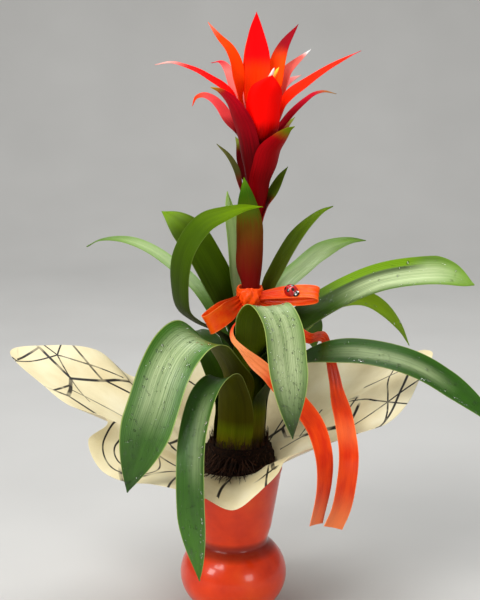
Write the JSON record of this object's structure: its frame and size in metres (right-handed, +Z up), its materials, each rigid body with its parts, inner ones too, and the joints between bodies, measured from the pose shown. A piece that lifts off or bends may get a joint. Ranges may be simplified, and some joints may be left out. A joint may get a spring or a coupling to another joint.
{
  "type": "potted bromeliad",
  "caption": "Flowering bromeliad with strap leaves and a red bract head, in a glazed pot with a crackle-patterned paper wrap, a satin ribbon bow and a ladybird ornament.",
  "frame": {"origin": "centre of the flat foot of the pot, on the surface it stands on", "axes": "+Z up along the flower stalk, -Y towards the viewer of the picture, +X to the viewer's right"},
  "size_m": [0.4064, 0.2731, 0.5111],
  "materials": {
    "glaze": "glossy orange-red glaze",
    "wrap_paper": "cream wrapping paper with a dark irregular line web, slight satin",
    "soil": "dark fibrous potting mix with roots",
    "stalk": "satin green-red flower stem",
    "leaf": "waxy green strap leaf, semi-gloss, pale margin",
    "bract": "waxy red to orange bract, semi-gloss",
    "scape_bract": "waxy green-brown to dark red stem bract",
    "floret": "cream-white to yellow flower buds",
    "satin": "orange satin ribbon",
    "ladybird_lacquer": "glossy red lacquer with dark spots"
  },
  "bodies": {
    "root": {"pot": "glaze", "paper_wrap": "wrap_paper", "potting_mix": "soil", "flower_stalk": "stalk", "leaf_low_left": "leaf", "leaf_back_left": "leaf", "leaf_back_right": "leaf", "leaf_right_arch": "leaf", "leaf_right_low": "leaf", "leaf_back": "leaf", "leaf_front_left": "leaf", "leaf_right_channel": "leaf", "leaf_left_far": "leaf", "leaf_front": "leaf", "leaf_right_far": "leaf", "leaf_left_curl": "leaf", "leaf_left_broad": "leaf", "leaf_right_upright": "leaf", "leaf_back_slim": "leaf", "leaf_inner_short": "leaf", "bract_scape_front": "scape_bract", "bract_low_left": "bract", "bract_low_right": "bract", "bract_front_right": "bract", "bract_low_back": "bract", "bract_front_left": "bract", "bract_back_right_low": "bract", "bract_left_small": "bract", "bract_right_thin": "bract", "bract_centre_front": "bract", "bract_back": "bract", "bract_left_far": "bract", "bract_right_big": "bract", "bract_left_back": "bract", "bract_right_second": "bract", "bract_right_third": "bract", "bract_left_upper": "bract", "bract_right_upper": "bract", "bract_back_upper": "bract", "bract_centre_top": "bract", "florets": "floret", "ribbon": "satin", "ladybird": "ladybird_lacquer"}
  },
  "joints": []
}
